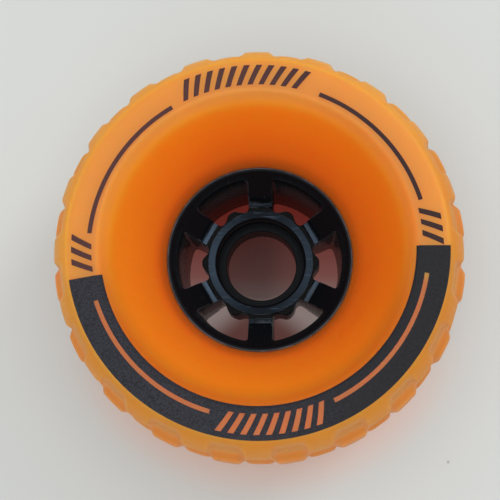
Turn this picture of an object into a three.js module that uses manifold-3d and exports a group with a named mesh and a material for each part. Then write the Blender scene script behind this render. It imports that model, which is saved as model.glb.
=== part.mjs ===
// An all-terrain board wheel: a cast urethane tyre with a knobbly tread, on a moulded core.
// Millimetres. The axle runs along Z, +Z leaves by the front (printed) face, and the
// origin is on the axis, half way between the front lip and the rear lip.
// "Depth" is the distance below the front lip, measured towards the rear.
import * as THREE from 'three';
import { mergeVertices, toCreasedNormals } from 'three/addons/utils/BufferGeometryUtils.js';
import Module from 'manifold-3d';

const wasm = await Module();
wasm.setup();

// Overall size
const WHEEL_DIAMETER = 100;
const WHEEL_WIDTH = 65;

// Two ball bearings sit in the core, with a spacer's length between their seats
const BEARING_DIAMETER = 22;
const BEARING_WIDTH = 7;
const SPACER_LENGTH = 10;
const BORE_DIAMETER = 18;
const SEAT_CHAMFER = 0.4;

// Core: rim, hub ring, spokes and the six windows between them
const CORE_DIAMETER = 45.5;
const CORE_WIDTH = 39.4;
const CORE_REAR_SET = 1.8;
const RIM_LAND = 0.6;
const RIM_EDGE = 0.2;
const DISH_STEP = 0.35;
const HUB_WALL = 2.25;
const SPOKES = 6;
const SPOKE_WIDTH = 6.5;
const WINDOW_CORNER = 1.1;
const WINDOW_RIM = 2.7;
const HUB_LEDGE = 0.5;
const NUB_HEIGHT = 1.3;
const NUB_TOP = 1.9;
const NUB_FOOT = 5.3;
const NUB_ROUND = 0.8;
const DRAFT_RUN = 0.25;
const PARTING_STEP = 0.25;
const PARTING_LAP = 0.02;
const BAR_GAP = 0.85;
const BAR_WIDTH = 1.2;
const GROOVE_DEPTH = 0.7;

// Ribs round the core's barrel, which lock it in the urethane
const LOCK_RIBS = 2;
const RIB_HEIGHT = 0.6;
const RIB_CREST = 2.4;
const RIB_FLARE = 1;
const BOND_GAP = 0.3;

// Tyre: lips, shoulder and bowl
const SHOULDER_INSET = 6.75;
const SHOULDER_PULL_INSET = 4;
const SHOULDER_PULL_DEPTH = 3.2;
const KNEE_INSET = 2.55;
const KNEE_DEPTH = 8;
const CROWN_PULL_DEPTH = 18.5;
const CROWN_DEPTH = 24;
const LIP_BEVEL = 0.8;
const LIP_BEVEL_RUN = 0.7;
const FRONT_LIP_WIDTH = 6.6;
const ROLL_DROP = 1.9;
const ROLL_RUN = 2.2;
const BOWL_PULL_ACROSS_SHARE = 0.38;
const BOWL_PULL_DOWN_SHARE = 0.66;
const REAR_LIP_WIDTH = 7.8;
const REAR_LIP_RUN = 1.6;

// Tread: rows of staggered knobs
const KNOBS_AROUND = 20;
const MIDDLE_ROWS = 3;
const LOBE_RISE = 5.5;
const LOBE_END = 9;
const TREAD_GROOVE = 6;
const TREAD_DEPTH = 1.35;
const ROW_FLANK = 4;
const SIDE_FLANK = 2.4;
const KNOB_CORNER = 1.6;

// Facets, the least step between two rings of them, and one overrun for every cut
const CORE_SEGMENTS = 48;
const BOWL_STEPS = 5;
const ROLL_STEPS = 3;
const ARC_STEPS = 5;
const FILLET_STEPS = 2;
const LEAST_STEP = 0.05;
const CREASE_ANGLE = Math.PI / 9;
const OVERRUN = 1;

// Places that the sizes above settle
const tyreRadius = WHEEL_DIAMETER / 2;
const frontLip = WHEEL_WIDTH / 2;
const coreRadius = CORE_DIAMETER / 2;
const coreRear = CORE_REAR_SET - frontLip;
const coreFront = coreRear + CORE_WIDTH;
const coreMiddle = (coreFront + coreRear) / 2;
const hubHalf = SPACER_LENGTH / 2 + BEARING_WIDTH;
const seatRadius = BEARING_DIAMETER / 2;
const hubRadius = seatRadius + HUB_WALL;
const boreRadius = BORE_DIAMETER / 2;
const barInner = hubRadius + BAR_GAP;
const windowInner = hubRadius + HUB_LEDGE;
const windowOuter = coreRadius - WINDOW_RIM;
const lipEdge = tyreRadius - SHOULDER_INSET;
const lipRoll = lipEdge - FRONT_LIP_WIDTH;
const rearLipRoll = lipEdge - REAR_LIP_WIDTH;

// A closed mesh becomes a solid, and a solid becomes a mesh again
function toSolid(geometry) {
  const bare = geometry.clone();
  bare.deleteAttribute('normal');
  bare.deleteAttribute('uv');
  const merged = mergeVertices(bare);
  const vertProperties = new Float32Array(merged.attributes.position.array);
  const triVerts = new Uint32Array(merged.index.array);
  return new wasm.Manifold(new wasm.Mesh({ numProp: 3, vertProperties, triVerts }));
}

function toGeometry(solid) {
  const mesh = solid.getMesh();
  const geometry = new THREE.BufferGeometry();
  geometry.setAttribute('position', new THREE.BufferAttribute(mesh.vertProperties, mesh.numProp));
  geometry.setIndex(new THREE.BufferAttribute(mesh.triVerts, 1));
  return toCreasedNormals(geometry, CREASE_ANGLE);
}

// A closed profile of [radius, height] points turned about the Z axis
function turned(profile) {
  const points = [...profile, profile[0]].map(([radius, z]) => new THREE.Vector2(radius, z));
  return new THREE.LatheGeometry(points, CORE_SEGMENTS).rotateX(Math.PI / 2);
}

// A quadratic curve between two [radius, height] points, without its first point
function curve(start, pull, end, steps) {
  const path = new THREE.QuadraticBezierCurve(
    new THREE.Vector2(...start),
    new THREE.Vector2(...pull),
    new THREE.Vector2(...end),
  );
  return path.getPoints(steps).slice(1).map((point) => [point.x, point.y]);
}

// Heights of the trapezoid ribs on the barrel: [height, outward share of the rib]
function ribStations() {
  const pitch = CORE_WIDTH / (LOCK_RIBS + 1);
  const half = RIB_CREST / 2;
  return Array.from({ length: LOCK_RIBS }, (_, i) => coreFront - pitch * (i + 1)).flatMap((z) => [
    [z + half + RIB_FLARE, 0],
    [z + half, 1],
    [z - half, 1],
    [z - half - RIB_FLARE, 0],
  ]);
}

// Core web: rim, dished faces and the barrel, before its windows are cut
function webProfile() {
  const dishRadius = coreRadius - RIM_EDGE - RIM_LAND;
  const root = hubRadius - HUB_WALL / 2;
  const land = hubHalf - GROOVE_DEPTH / 2;
  const face = (side) => [
    [root, coreMiddle + side * land],
    [hubRadius, coreMiddle + side * land],
    [dishRadius - DISH_STEP, coreMiddle + side * (CORE_WIDTH / 2 - DISH_STEP)],
    [dishRadius, coreMiddle + side * (CORE_WIDTH / 2)],
    [coreRadius - RIM_EDGE, coreMiddle + side * (CORE_WIDTH / 2)],
    [coreRadius, coreMiddle + side * (CORE_WIDTH / 2 - RIM_EDGE)],
  ];
  const ribs = ribStations().map(([z, share]) => [coreRadius + RIB_HEIGHT * share, z]);
  return [...face(1), ...ribs, ...face(-1).reverse()].reverse();
}

// Hub tube: two bearing seats, each with a lead-in chamfer, and the bore between them
function hubProfile() {
  const end = (side) => [
    [hubRadius, coreMiddle + side * hubHalf],
    [seatRadius + SEAT_CHAMFER, coreMiddle + side * hubHalf],
    [seatRadius, coreMiddle + side * (hubHalf - SEAT_CHAMFER)],
    [seatRadius, coreMiddle + side * (hubHalf - BEARING_WIDTH)],
    [boreRadius, coreMiddle + side * (hubHalf - BEARING_WIDTH)],
  ];
  return [...end(-1).reverse(), ...end(1)];
}

// A closed outline whose corners are rounded: each corner is [x, y, radius]
function roundedOutline(corners) {
  const shape = new THREE.Shape();
  corners.forEach(([x, y, radius], i) => {
    const corner = new THREE.Vector2(x, y);
    const before = new THREE.Vector2(...corners.at(i - 1).slice(0, 2)).sub(corner);
    const after = new THREE.Vector2(...corners[(i + 1) % corners.length].slice(0, 2)).sub(corner);
    const cut = Math.min(radius, before.length() / 2, after.length() / 2);
    const entry = corner.clone().add(before.setLength(cut));
    const exit = corner.clone().add(after.setLength(cut));
    if (i === 0) shape.moveTo(entry.x, entry.y);
    else shape.lineTo(entry.x, entry.y);
    if (cut > 0) shape.quadraticCurveTo(x, y, exit.x, exit.y);
  });
  shape.closePath();
  return shape;
}

// One window between two spokes, centred on +X: a rounded sector with a nub on the hub side
const edgeAngle = (radius) => Math.PI / SPOKES - Math.asin(SPOKE_WIDTH / 2 / radius);

function windowOutline() {
  const at = (radius, angle, round) => [radius * Math.cos(angle), radius * Math.sin(angle), round];
  const shares = Array.from({ length: ARC_STEPS + 1 }, (_, i) => (2 * i) / ARC_STEPS - 1);
  const rim = shares.map((share) => {
    const round = Math.abs(share) === 1 ? WINDOW_CORNER : 0;
    return at(windowOuter, edgeAngle(windowOuter) * share, round);
  });
  const foot = Math.asin(NUB_FOOT / 2 / windowInner);
  return roundedOutline([
    ...rim,
    at(windowInner, edgeAngle(windowInner), WINDOW_CORNER),
    at(windowInner, foot, NUB_ROUND),
    [windowInner + NUB_HEIGHT, NUB_TOP / 2, NUB_ROUND],
    [windowInner + NUB_HEIGHT, -NUB_TOP / 2, NUB_ROUND],
    at(windowInner, -foot, NUB_ROUND),
    at(windowInner, -edgeAngle(windowInner), WINDOW_CORNER),
  ]);
}

// The two mould halves leave drafted walls that meet at a parting step
function windowCutter(side) {
  const reach = CORE_WIDTH / 2 + OVERRUN;
  const centre = (windowInner + windowOuter) / 2;
  const halfSpan = (windowOuter - windowInner) / 2;
  const halfBreadth = windowOuter * Math.sin(edgeAngle(windowOuter));
  const settings = { depth: reach + PARTING_LAP, bevelEnabled: false, curveSegments: FILLET_STEPS };
  const geometry = new THREE.ExtrudeGeometry(windowOutline(), settings);
  const position = geometry.attributes.position;
  const start = side > 0 ? 0 : PARTING_STEP;
  for (let i = 0; i < position.count; i += 1) {
    const z = position.getZ(i);
    const out = start + (DRAFT_RUN * z) / reach;
    const x = centre + (position.getX(i) - centre) * (1 + out / halfSpan);
    const y = position.getY(i) * (1 + out / halfBreadth);
    position.setXYZ(i, x, y, z - PARTING_LAP);
  }
  if (side < 0) geometry.rotateX(Math.PI);
  return geometry.translate(0, 0, coreMiddle);
}

// A six-sided pocket round the hub ring: its flats lie across the spokes
function pocketCutter(apothem, floor, side) {
  const radius = apothem / Math.cos(Math.PI / SPOKES);
  const height = CORE_WIDTH / 2 - floor + OVERRUN;
  const geometry = new THREE.CylinderGeometry(radius, radius, height, SPOKES);
  geometry.rotateX(Math.PI / 2);
  geometry.rotateZ(Math.PI / 2);
  return geometry.translate(0, 0, coreMiddle + side * (floor + height / 2));
}

function coreGeometry() {
  let web = toSolid(turned(webProfile()));
  for (const side of [1, -1]) {
    web = web.subtract(toSolid(pocketCutter(barInner + BAR_WIDTH, hubHalf, side)));
    web = web.subtract(toSolid(pocketCutter(barInner, hubHalf - GROOVE_DEPTH, side)));
    for (let i = 0; i < SPOKES; i += 1) {
      const cutter = windowCutter(side).rotateZ((i * 2 * Math.PI) / SPOKES);
      web = web.subtract(toSolid(cutter));
    }
  }
  return toGeometry(web.add(toSolid(turned(hubProfile()))));
}

// Shoulder and crown of the tyre: the radius that the knob tops reach at a depth
const knee = [tyreRadius - KNEE_INSET, KNEE_DEPTH];
const shoulder = [
  [lipEdge + LIP_BEVEL_RUN, LIP_BEVEL],
  [tyreRadius - SHOULDER_PULL_INSET, SHOULDER_PULL_DEPTH],
  knee,
];
const crown = [knee, [tyreRadius, CROWN_PULL_DEPTH], [tyreRadius, CROWN_DEPTH]];

// A quadratic curve's depth is a + b t + c t^2, which is solved for t to find its radius
function radiusOn([start, pull, end], depth) {
  const a = start[1] - depth;
  const b = 2 * (pull[1] - start[1]);
  const c = start[1] - 2 * pull[1] + end[1];
  const t = (-2 * a) / (b + Math.sqrt(b * b - 4 * a * c));
  return (1 - t) * (1 - t) * start[0] + 2 * t * (1 - t) * pull[0] + t * t * end[0];
}

function crownRadius(depth) {
  const fromLip = Math.min(depth, WHEEL_WIDTH - depth);
  if (fromLip >= CROWN_DEPTH) return tyreRadius;
  if (fromLip >= KNEE_DEPTH) return radiusOn(crown, fromLip);
  if (fromLip >= LIP_BEVEL) return radiusOn(shoulder, fromLip);
  return lipEdge + (LIP_BEVEL_RUN * fromLip) / LIP_BEVEL;
}

// Rows of knobs from front to rear, each [start, end] in depth: the end rows run out on the lips
const knobLength =
  (WHEEL_WIDTH - 2 * LOBE_END - TREAD_GROOVE * (MIDDLE_ROWS + 1)) / MIDDLE_ROWS;
const rows = [[-WHEEL_WIDTH, LOBE_END]];
for (let i = 0; i < MIDDLE_ROWS; i += 1) {
  const start = rows[i][1] + TREAD_GROOVE;
  rows.push([start, start + knobLength]);
}
rows.push([WHEEL_WIDTH - LOBE_END, 2 * WHEEL_WIDTH]);

const pitch = (2 * Math.PI) / KNOBS_AROUND;
const cornerShare = KNOB_CORNER / ROW_FLANK;
const flankAngle = SIDE_FLANK / 2 / tyreRadius;

// Share of the tread depth at a point: 1 on a knob's top, 0 on the floor between knobs
function knobShare(angle, depth) {
  let best = 0;
  rows.forEach(([start, end], row) => {
    const turn = angle / pitch - (row % 2) / 2;
    const across = Math.abs(turn - Math.round(turn)) * pitch * tyreRadius;
    const along = Math.abs(depth - (start + end) / 2);
    const outX = (across - (pitch / 4 - flankAngle) * tyreRadius) / SIDE_FLANK + cornerShare;
    const outZ = (along - (end - start) / 2) / ROW_FLANK + cornerShare;
    const out = Math.hypot(Math.max(outX, 0), Math.max(outZ, 0)) - cornerShare;
    best = Math.max(best, 1 - THREE.MathUtils.clamp(out, 0, 1));
  });
  return best;
}

// The facets stand outside the true circle, so that the tyre measures its full diameter
const facetStretch = 1 / Math.cos(pitch / 4 - flankAngle);

function treadRadius(angle, depth) {
  const fromLip = Math.min(depth, WHEEL_WIDTH - depth);
  const fade = THREE.MathUtils.clamp((fromLip - LIP_BEVEL) / LOBE_RISE, 0, 1);
  const drop = TREAD_DEPTH * fade * (1 - knobShare(angle, depth));
  return (crownRadius(depth) - drop) * facetStretch;
}

// Depths where the tread's surface bends, from the front lip to the rear lip
function treadDepths() {
  const front = [0, LIP_BEVEL, LIP_BEVEL + LOBE_RISE / 2, LIP_BEVEL + LOBE_RISE];
  const rear = front.map((depth) => WHEEL_WIDTH - depth);
  const ends = rows.slice(0, -1).map((row) => row[1]);
  const grooves = ends.flatMap((end) => {
    const next = end + TREAD_GROOVE;
    return [end, next - ROW_FLANK, end + ROW_FLANK, next];
  });
  const depths = [...front, ...grooves, ...rear].sort((a, b) => a - b);
  return depths.filter((depth, i) => i === 0 || depth - depths[i - 1] > LEAST_STEP);
}

// Rest of the tyre's section: rear lip, rear face, barrel, bowl and front lip
function innerProfile() {
  const bond = coreRadius + BOND_GAP;
  const ribs = ribStations().map(([z, share], i) => {
    const clear = i % 4 < 2 ? BOND_GAP : -BOND_GAP;
    return [bond + RIB_HEIGHT * share, z + clear];
  });
  const bowlDepth = frontLip - coreFront;
  const rollEnd = [lipRoll - ROLL_RUN, frontLip - ROLL_DROP];
  const across = bond + (rollEnd[0] - bond) * BOWL_PULL_ACROSS_SHARE;
  const pull = [across, frontLip - bowlDepth * BOWL_PULL_DOWN_SHARE];
  const rollPull = [lipRoll - ROLL_RUN / 2, frontLip];
  return [
    [rearLipRoll, -frontLip],
    [rearLipRoll - REAR_LIP_RUN, coreRear],
    [bond, coreRear],
    ...ribs.reverse(),
    [bond, coreFront],
    ...curve([bond, coreFront], pull, rollEnd, BOWL_STEPS),
    ...curve(rollEnd, rollPull, [lipRoll, frontLip], ROLL_STEPS),
  ];
}

// The tyre is one closed skin. Columns stand where each side flank begins, half way down it
// and where it ends; the plain surfaces inside leave out the ones half way down.
function tyreGeometry() {
  const quarter = pitch / 4;
  const columns = [flankAngle - quarter, quarter - flankAngle, quarter];
  columns.push(quarter + flankAngle, 3 * quarter - flankAngle, 3 * quarter);
  const perPitch = columns.length;
  const isPlain = (column) => column % perPitch !== 2 && column % perPitch !== 5;
  const count = perPitch * KNOBS_AROUND;
  const angleAt = (column) => columns[column % perPitch] + pitch * Math.floor(column / perPitch);
  const all = Array.from({ length: count }, (_, i) => i);
  const plain = all.filter(isPlain);

  const vertices = [];
  const addRing = (list, point) =>
    list.map((column) => {
      const [radius, z] = point(angleAt(column));
      vertices.push(radius * Math.cos(angleAt(column)), radius * Math.sin(angleAt(column)), z);
      return { column, id: vertices.length / 3 - 1 };
    });
  const rings = treadDepths().map((depth) =>
    addRing(all, (angle) => [treadRadius(angle, depth), frontLip - depth]),
  );
  for (const [radius, z] of innerProfile()) rings.push(addRing(plain, () => [radius, z]));

  // Two rings are joined by walking round both, always stepping the one that lags. Where
  // both step together, the edge between them runs over the high corner of a knob.
  const faces = [];
  const reach = (id) => Math.hypot(vertices[3 * id], vertices[3 * id + 1]);
  const join = (upper, lower) => {
    let i = 0;
    let j = 0;
    const step = (ring, k) => ring[k % ring.length].column + count * Math.floor(k / ring.length);
    while (i < upper.length || j < lower.length) {
      const a = upper[i % upper.length].id;
      const b = lower[j % lower.length].id;
      const upperNext = i < upper.length ? step(upper, i + 1) : Infinity;
      const lowerNext = j < lower.length ? step(lower, j + 1) : Infinity;
      const c = upper[(i + 1) % upper.length].id;
      const d = lower[(j + 1) % lower.length].id;
      const overUpper = reach(b) + reach(c) >= reach(a) + reach(d);
      if (upperNext < lowerNext || (upperNext === lowerNext && overUpper)) {
        i += 1;
        faces.push(a, b, c);
      } else {
        j += 1;
        faces.push(a, b, d);
      }
    }
  };
  rings.forEach((ring, i) => join(ring, rings[(i + 1) % rings.length]));

  const geometry = new THREE.BufferGeometry();
  geometry.setAttribute('position', new THREE.Float32BufferAttribute(vertices, 3));
  geometry.setIndex(faces);
  return toCreasedNormals(geometry, CREASE_ANGLE);
}

// Materials, and the wheel
const urethane = new THREE.MeshStandardMaterial({ color: 0xe8801e, roughness: 0.5, metalness: 0 });
const nylon = new THREE.MeshStandardMaterial({ color: 0x15171a, roughness: 0.32, metalness: 0 });

function piece(name, geometry, material) {
  const mesh = new THREE.Mesh(geometry, material);
  mesh.name = name;
  return mesh;
}

const wheel = new THREE.Group();
wheel.add(piece('tyre', tyreGeometry(), urethane));
wheel.add(piece('core', coreGeometry(), nylon));

export default wheel;
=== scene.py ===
# %% [markdown]
# # A board wheel: cast urethane tyre on a moulded core
#
# The wheel is two pieces. A black nylon core comes out of an injection mould with six windows
# and two bearing seats, and orange urethane is then cast round it in a second mould that
# leaves the knobs of the tread. Ink is printed on the flat front lip afterwards.
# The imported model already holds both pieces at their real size. This script keeps every size
# and place, and gives each piece the fine surface and the finish that the plain solids lack.

# %% Load the fixed frame
import math

import bmesh
import bpy
import numpy as np
from mathutils import Matrix, Vector
from mathutils.geometry import delaunay_2d_cdt


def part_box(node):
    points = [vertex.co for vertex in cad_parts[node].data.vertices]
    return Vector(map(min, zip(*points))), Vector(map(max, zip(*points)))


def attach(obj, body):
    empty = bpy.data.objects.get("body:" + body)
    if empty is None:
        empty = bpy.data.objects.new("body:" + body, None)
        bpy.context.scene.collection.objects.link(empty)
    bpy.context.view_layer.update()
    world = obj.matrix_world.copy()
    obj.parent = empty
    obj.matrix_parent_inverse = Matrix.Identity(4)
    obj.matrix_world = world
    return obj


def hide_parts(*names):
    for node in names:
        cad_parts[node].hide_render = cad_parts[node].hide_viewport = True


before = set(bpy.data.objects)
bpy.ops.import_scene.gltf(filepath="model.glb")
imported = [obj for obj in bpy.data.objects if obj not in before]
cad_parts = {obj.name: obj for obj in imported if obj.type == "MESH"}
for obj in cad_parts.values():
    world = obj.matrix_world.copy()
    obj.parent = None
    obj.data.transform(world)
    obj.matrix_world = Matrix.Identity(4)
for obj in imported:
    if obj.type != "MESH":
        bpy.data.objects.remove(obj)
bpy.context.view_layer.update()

MM = 0.001
tyre_low, tyre_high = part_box("tyre")
core_low, core_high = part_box("core")
print("pieces:", sorted(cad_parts), "size in mm:", [round(2 * v / MM, 2) for v in tyre_high])

# %% [markdown]
# ## Sizes
#
# Everything below is worked out in millimetres and turned into metres only where a mesh, a
# node or the camera needs them. The outer sizes are read from the frame. "Depth" is the
# distance below the front lip, because the tread is easiest to describe from the lip down.

# %% Sizes of the wheel
WHEEL_RADIUS = tyre_high.x / MM
FRONT_LIP = tyre_high.z / MM
REAR_LIP = tyre_low.z / MM
WHEEL_WIDTH = FRONT_LIP - REAR_LIP
CORE_FRONT = core_high.z / MM
CORE_REAR = core_low.z / MM
CORE_MIDDLE = (CORE_FRONT + CORE_REAR) / 2
CORE_HALF = (CORE_FRONT - CORE_REAR) / 2
CORE_RADIUS = 22.75

SHOULDER_INSET = 6.75
SHOULDER_PULL_INSET = 4
SHOULDER_PULL_DEPTH = 3.2
KNEE_INSET = 2.55
KNEE_DEPTH = 8
CROWN_PULL_DEPTH = 18.5
CROWN_DEPTH = 24
LIP_BEVEL = 0.8
LIP_BEVEL_RUN = 0.7
FRONT_LIP_WIDTH = 6.6
ROLL_DROP = 1.9
ROLL_RUN = 2.2
BOWL_PULL_ACROSS_SHARE = 0.38
BOWL_PULL_DOWN_SHARE = 0.66
REAR_LIP_WIDTH = 7.8
REAR_LIP_RUN = 1.6

LIP_EDGE = WHEEL_RADIUS - SHOULDER_INSET
LIP_ROLL = LIP_EDGE - FRONT_LIP_WIDTH
REAR_LIP_ROLL = LIP_EDGE - REAR_LIP_WIDTH
print("lip runs from", round(LIP_ROLL, 2), "to", round(LIP_EDGE, 2), "mm from the axis")

# %% Small helpers: curves and meshes
WELD_GAP = 2e-4
CREASE_DEGREES = 40


def bezier(start, pull, end, steps):
    """Points of a quadratic curve, both ends included."""
    t = np.linspace(0, 1, steps + 1)[:, None]
    points = (1 - t) ** 2 * np.array(start, float)
    points += 2 * t * (1 - t) * np.array(pull, float)
    return points + t**2 * np.array(end, float)


def soft_step(value, rounding=0.22):
    """Climbs from 0 to 1 in a straight line whose two ends are rounded off."""
    x = np.clip(value, 0, 1)
    scale = 2 * rounding * (1 - rounding)
    middle = (x - rounding / 2) / (1 - rounding)
    high = 1 - (1 - x) ** 2 / scale
    return np.where(x < rounding, x**2 / scale, np.where(x > 1 - rounding, high, middle))


def make_piece(name, points, faces):
    """A mesh object from points in millimetres, with its normals out and smooth up to a crease."""
    mesh = bpy.data.meshes.new(name)
    mesh.from_pydata((np.asarray(points) * MM).tolist(), [], faces)
    work = bmesh.new()
    work.from_mesh(mesh)
    bmesh.ops.remove_doubles(work, verts=work.verts, dist=WELD_GAP * MM)
    bmesh.ops.recalc_face_normals(work, faces=work.faces)
    open_edges = sum(not edge.is_manifold for edge in work.edges)
    work.to_mesh(mesh)
    work.free()
    mesh.shade_smooth()
    mesh.set_sharp_from_angle(angle=math.radians(CREASE_DEGREES))
    piece = bpy.data.objects.new(name, mesh)
    bpy.context.scene.collection.objects.link(piece)
    print(name, len(mesh.polygons), "faces,", open_edges, "open edges")
    return piece


print("soft step at 0, 0.5 and 1:", soft_step(np.array([0, 0.5, 1])))

# %% [markdown]
# ## The tread
#
# Five rows of staggered knobs run round the tyre. The two end rows are lobes that grow out of
# the side wall, and the three middle rows are blocks with long flanks in front and behind.
# One formula gives the radius at any angle and depth, so the whole tread is a single surface
# with no knob placed by hand. The alternative, twenty knobs joined to a barrel with booleans,
# would leave hard seams where the real mould has soft ones.

# %% Tread formula
KNOBS_AROUND = 20
MIDDLE_ROWS = 3
LOBE_RISE = 5.5
LOBE_END = 9
TREAD_GROOVE = 6
TREAD_DEPTH = 1.35
ROW_FLANK = 4
SIDE_FLANK = 2.4
KNOB_CORNER = 1.6
BEVEL_BEND = 0.8
SHOULDER_STEPS = 200

PITCH = 2 * math.pi / KNOBS_AROUND
QUARTER = PITCH / 4 * WHEEL_RADIUS
TOP_HALF = QUARTER - SIDE_FLANK / 2
KNOB_LENGTH = (WHEEL_WIDTH - 2 * LOBE_END - TREAD_GROOVE * (MIDDLE_ROWS + 1)) / MIDDLE_ROWS
lip_corner = (LIP_EDGE + LIP_BEVEL_RUN, LIP_BEVEL)
shoulder_pull = (WHEEL_RADIUS - SHOULDER_PULL_INSET, SHOULDER_PULL_DEPTH)
knee = (WHEEL_RADIUS - KNEE_INSET, KNEE_DEPTH)
crown_pull = (WHEEL_RADIUS, CROWN_PULL_DEPTH)
SHOULDER = np.concatenate([
    bezier(lip_corner, shoulder_pull, knee, SHOULDER_STEPS),
    bezier(knee, crown_pull, (WHEEL_RADIUS, CROWN_DEPTH), SHOULDER_STEPS)[1:],
])

rows = [(-WHEEL_WIDTH, LOBE_END)]
for row in range(MIDDLE_ROWS):
    row_start = rows[row][1] + TREAD_GROOVE
    rows.append((row_start, row_start + KNOB_LENGTH))
rows.append((WHEEL_WIDTH - LOBE_END, 2 * WHEEL_WIDTH))


def crown_radius(depth):
    """Radius of the knob tops at a depth: bevel, shoulder and crown."""
    from_lip = np.minimum(depth, WHEEL_WIDTH - depth)
    share = np.clip(from_lip / LIP_BEVEL, 0, 1) ** BEVEL_BEND
    shoulder = np.interp(from_lip, SHOULDER[:, 1], SHOULDER[:, 0])
    return np.where(from_lip < LIP_BEVEL, LIP_EDGE + LIP_BEVEL_RUN * share, shoulder)


def knob_share(angle, depth):
    """1 on a knob's top and 0 on the floor between knobs."""
    best = np.zeros(np.broadcast(angle, depth).shape)
    corner = KNOB_CORNER / ROW_FLANK
    for index, (start, end) in enumerate(rows):
        turn = angle / PITCH - (index % 2) / 2
        across = np.abs(turn - np.round(turn)) * PITCH * WHEEL_RADIUS
        along = np.abs(depth - (start + end) / 2)
        out_x = np.maximum((across - TOP_HALF) / SIDE_FLANK + corner, 0)
        out_z = np.maximum((along - (end - start) / 2) / ROW_FLANK + corner, 0)
        out = np.hypot(out_x, out_z) - corner
        best = np.maximum(best, 1 - soft_step(out))
    return best


def relief_share(depth):
    """0 on the plain side wall at a lip and 1 where the tread has its full depth."""
    from_lip = np.minimum(depth, WHEEL_WIDTH - depth)
    return soft_step((from_lip - LIP_BEVEL) / LOBE_RISE)


def tread_radius(angle, depth):
    cut = TREAD_DEPTH * relief_share(depth) * (1 - knob_share(angle, depth))
    return crown_radius(depth) - cut


print("rows of knobs, by depth:", [(round(a, 1), round(b, 1)) for a, b in rows[1:-1]])

# %% [markdown]
# ## The tyre
#
# The tyre is a closed skin of rings. The outer rings follow the tread formula and stand close
# together wherever a flank starts or ends, because the flanks are only 2.4 and 4 mm wide. The
# inner rings follow a plain section through the bowl and need half as many columns, so a fan
# of five-sided faces on each flat lip joins the two.

# %% Rings and columns of the tyre
def stations(spans):
    """Places that divide each (start, end, steps) span evenly, without its end."""
    return np.concatenate([np.linspace(a, b, n, endpoint=False) for a, b, n in spans])


first_row, second_row = rows[1], rows[2]
half_spans = [
    (0, LIP_BEVEL, 5),
    (LIP_BEVEL, LIP_BEVEL + LOBE_RISE, 9),
    (LIP_BEVEL + LOBE_RISE, LOBE_END, 6),
    (LOBE_END, first_row[0], 12),
    (first_row[0], first_row[1], 7),
    (first_row[1], second_row[0], 12),
    (second_row[0], WHEEL_WIDTH / 2, 3),
]
front_half = stations(half_spans)
tread_depths = np.concatenate([front_half, [WHEEL_WIDTH / 2], (WHEEL_WIDTH - front_half)[::-1]])

flank_end = TOP_HALF + SIDE_FLANK
half_pitch = stations([(0, TOP_HALF, 3), (TOP_HALF, flank_end, 6), (flank_end, 2 * QUARTER, 3)])
one_pitch = np.concatenate([half_pitch, 2 * QUARTER + half_pitch[:1], 4 * QUARTER - half_pitch[:0:-1]])
outer_angles = np.concatenate(
    [one_pitch / WHEEL_RADIUS + PITCH * knob for knob in range(KNOBS_AROUND)]
)
inner_angles = outer_angles[::2]
print(len(tread_depths), "rings of", len(outer_angles), "columns outside")

# %% Section through the inside of the tyre
LIP_SINK = 0.03
CREST_SHARE = 0.88
FOOT_SHARE = 0.1
CREST_SPREAD = 0.14
BARREL_GAP = 0.02
BOWL_STEPS = 30
ROLL_STEPS = 12
REAR_FACE_STEPS = 4
LIP_RINGS = 5
BACK_RINGS = 6


def lip_height(radius):
    """Height of the front lip and of the roll at its inner edge."""
    return np.interp(radius, lip_section[:, 0], lip_section[:, 1])


roll_end = (LIP_ROLL - ROLL_RUN, FRONT_LIP - ROLL_DROP)
bowl_foot = (CORE_RADIUS + BARREL_GAP, CORE_FRONT)
bowl_pull = (
    bowl_foot[0] + (roll_end[0] - bowl_foot[0]) * BOWL_PULL_ACROSS_SHARE,
    FRONT_LIP - (FRONT_LIP - CORE_FRONT) * BOWL_PULL_DOWN_SHARE,
)
bowl = bezier(bowl_foot, bowl_pull, roll_end, BOWL_STEPS)
lip_top = FRONT_LIP - LIP_SINK
roll = bezier(roll_end, (LIP_ROLL - ROLL_RUN / 2, FRONT_LIP), (LIP_ROLL, lip_top), ROLL_STEPS)
front_lip = [(radius, lip_top) for radius in np.linspace(LIP_ROLL, LIP_EDGE, LIP_RINGS)[1:-1]]
lip_section = np.array([*roll, *front_lip, (LIP_EDGE, lip_top)])
rear_lip = [(radius, REAR_LIP) for radius in np.linspace(LIP_EDGE, REAR_LIP_ROLL, LIP_RINGS)[1:]]
rear_face = bezier(
    (REAR_LIP_ROLL, REAR_LIP),
    (REAR_LIP_ROLL - REAR_LIP_RUN / 2, REAR_LIP),
    (REAR_LIP_ROLL - REAR_LIP_RUN, CORE_REAR),
    REAR_FACE_STEPS,
)[1:]
disc_radii = np.linspace(rear_face[-1][0], bowl_foot[0], BACK_RINGS)[1:]
rear_disc = [(radius, CORE_REAR) for radius in disc_radii]
barrel_heights = np.linspace(CORE_REAR, CORE_FRONT, BACK_RINGS)[1:-1]
barrel = [(bowl_foot[0], height) for height in barrel_heights]
inner_section = [*rear_lip, *rear_face, *rear_disc, *barrel, *bowl, *roll[1:], *front_lip]
print(len(inner_section), "rings inside")

# %% Build the tyre's skin
def ring_points(angles, radius, height):
    radius = np.broadcast_to(radius, angles.shape)
    return np.stack([radius * np.cos(angles), radius * np.sin(angles), np.full(len(angles), height)], 1)


outer_rings = []
for depth in tread_depths:
    height = FRONT_LIP - depth if depth > 0 else lip_top
    outer_rings.append(ring_points(outer_angles, tread_radius(outer_angles, depth), height))
inner_rings = [ring_points(inner_angles, radius, height) for radius, height in inner_section]


def quads_between(first, second, count):
    """Faces between two rings of as many points, given the number of each one's first point."""
    after = [(k + 1) % count for k in range(count)]
    return [(first + k, first + n, second + n, second + k) for k, n in enumerate(after)]


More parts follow.
